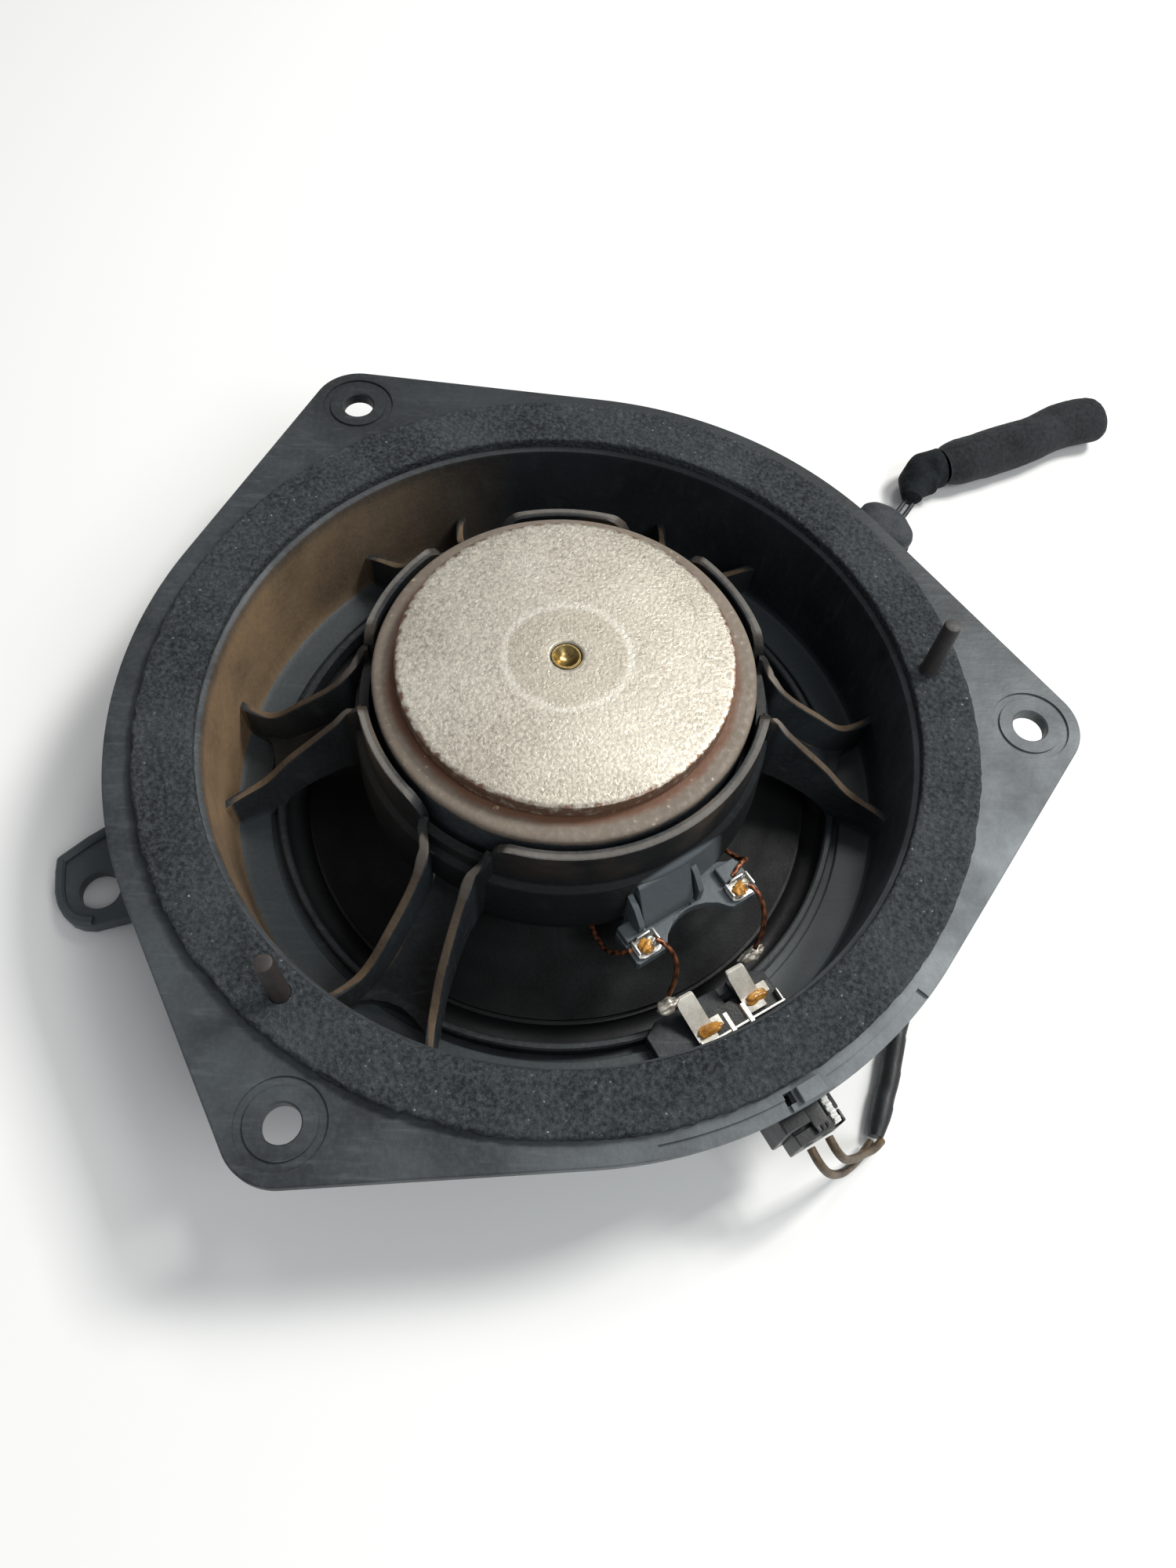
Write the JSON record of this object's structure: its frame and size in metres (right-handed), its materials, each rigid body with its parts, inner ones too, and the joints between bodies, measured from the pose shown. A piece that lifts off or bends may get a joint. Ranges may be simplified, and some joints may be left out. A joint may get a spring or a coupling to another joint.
{
  "type": "car door woofer with spacer basket",
  "caption": "Car woofer in a deep moulded basket with three mounting ears, foam gasket, ferrite motor and a two-wire harness pigtail.",
  "frame": {"origin": "centre of the front rim plane, on the speaker axis, which is also the bottom centre of the basket's box", "axes": "+Z along the speaker axis from the front rim to the magnet's back plate, +X towards one mounting ear, so the other ears are at 120 and 240 degrees"},
  "size_m": [0.2831, 0.2353, 0.0633],
  "materials": {
    "basket_plastic": "moulded glass-filled polypropylene, satin, charcoal grey",
    "gasket_foam": "open-cell foam gasket, matte, near black with grey flecks",
    "surround_rubber": "butyl rubber, satin",
    "spider_cloth": "phenolic-impregnated woven cotton, matte amber",
    "cone_paper": "pressed paper pulp, black, fibrous matte",
    "polyimide": "amber polyimide film",
    "copper": "enamelled or braided copper, brown",
    "steel": "low-carbon steel, zinc flash",
    "ferrite": "sintered strontium ferrite, ground faces, dark grey",
    "zinc_plate": "yellow-passivated zinc plate, speckled grain, satin",
    "brass": "brass, satin",
    "tinned_steel": "tin-plated strip, bright",
    "solder": "tin-lead solder with amber flux",
    "wire_sheath": "tan PVC insulation, satin",
    "loom_tape": "black cloth-backed harness tape",
    "connector_plastic": "black moulded polyamide",
    "lock_plastic": "natural white polyamide",
    "grommet_rubber": "moulded rubber",
    "sleeve_foam": "felt-covered foam wrap, matte black"
  },
  "bodies": {
    "basket": {"basket": "basket_plastic", "rear_gasket": "gasket_foam", "front_gasket": "gasket_foam", "surround": "surround_rubber", "spider": "spider_cloth", "top_plate": "steel", "ferrite_magnet": "ferrite", "back_plate": "zinc_plate", "pole_piece": "steel", "centre_rivet": "brass", "solder_tray": "tinned_steel", "solder_tab_1": "tinned_steel", "solder_tab_2": "tinned_steel", "tab_solder_1": "solder", "tab_solder_2": "solder", "jumper_lead_1": "copper", "jumper_lead_2": "copper", "bridge_terminal_1": "tinned_steel", "bridge_terminal_2": "tinned_steel", "terminal_solder_1": "solder", "terminal_solder_2": "solder", "tinsel_lead_1": "copper", "tinsel_lead_2": "copper", "socket_pin_1": "tinned_steel", "socket_pin_2": "tinned_steel", "plug_contact_1": "tinned_steel", "plug_contact_2": "tinned_steel", "wire_1": "wire_sheath", "wire_2": "wire_sheath", "strand_1": "loom_tape", "strand_2": "loom_tape", "plug_housing": "connector_plastic", "harness_loom": "loom_tape", "harness_grommet": "grommet_rubber", "sleeve_neck": "loom_tape", "foam_sleeve": "sleeve_foam", "inline_connector": "connector_plastic"},
    "cone_assembly": {"cone": "cone_paper", "dust_cap": "cone_paper", "voice_coil_former": "polyimide", "voice_coil_winding": "copper"},
    "plug_lock": {"plug_lock": "lock_plastic"}
  },
  "joints": [
    {"name": "cone_travel", "type": "slide", "parent": "basket", "child": "cone_assembly", "axis": [0, 0, 1], "range_m": [-0.004, 0.004], "stiffness_N_per_m": 2500, "deforming": ["surround", "spider", "tinsel_lead_1", "tinsel_lead_2"]},
    {"name": "lock_slide", "type": "slide", "parent": "basket", "child": "plug_lock", "axis": [0.5, -0.866, 0], "range_m": [0, 0.0025]}
  ]
}
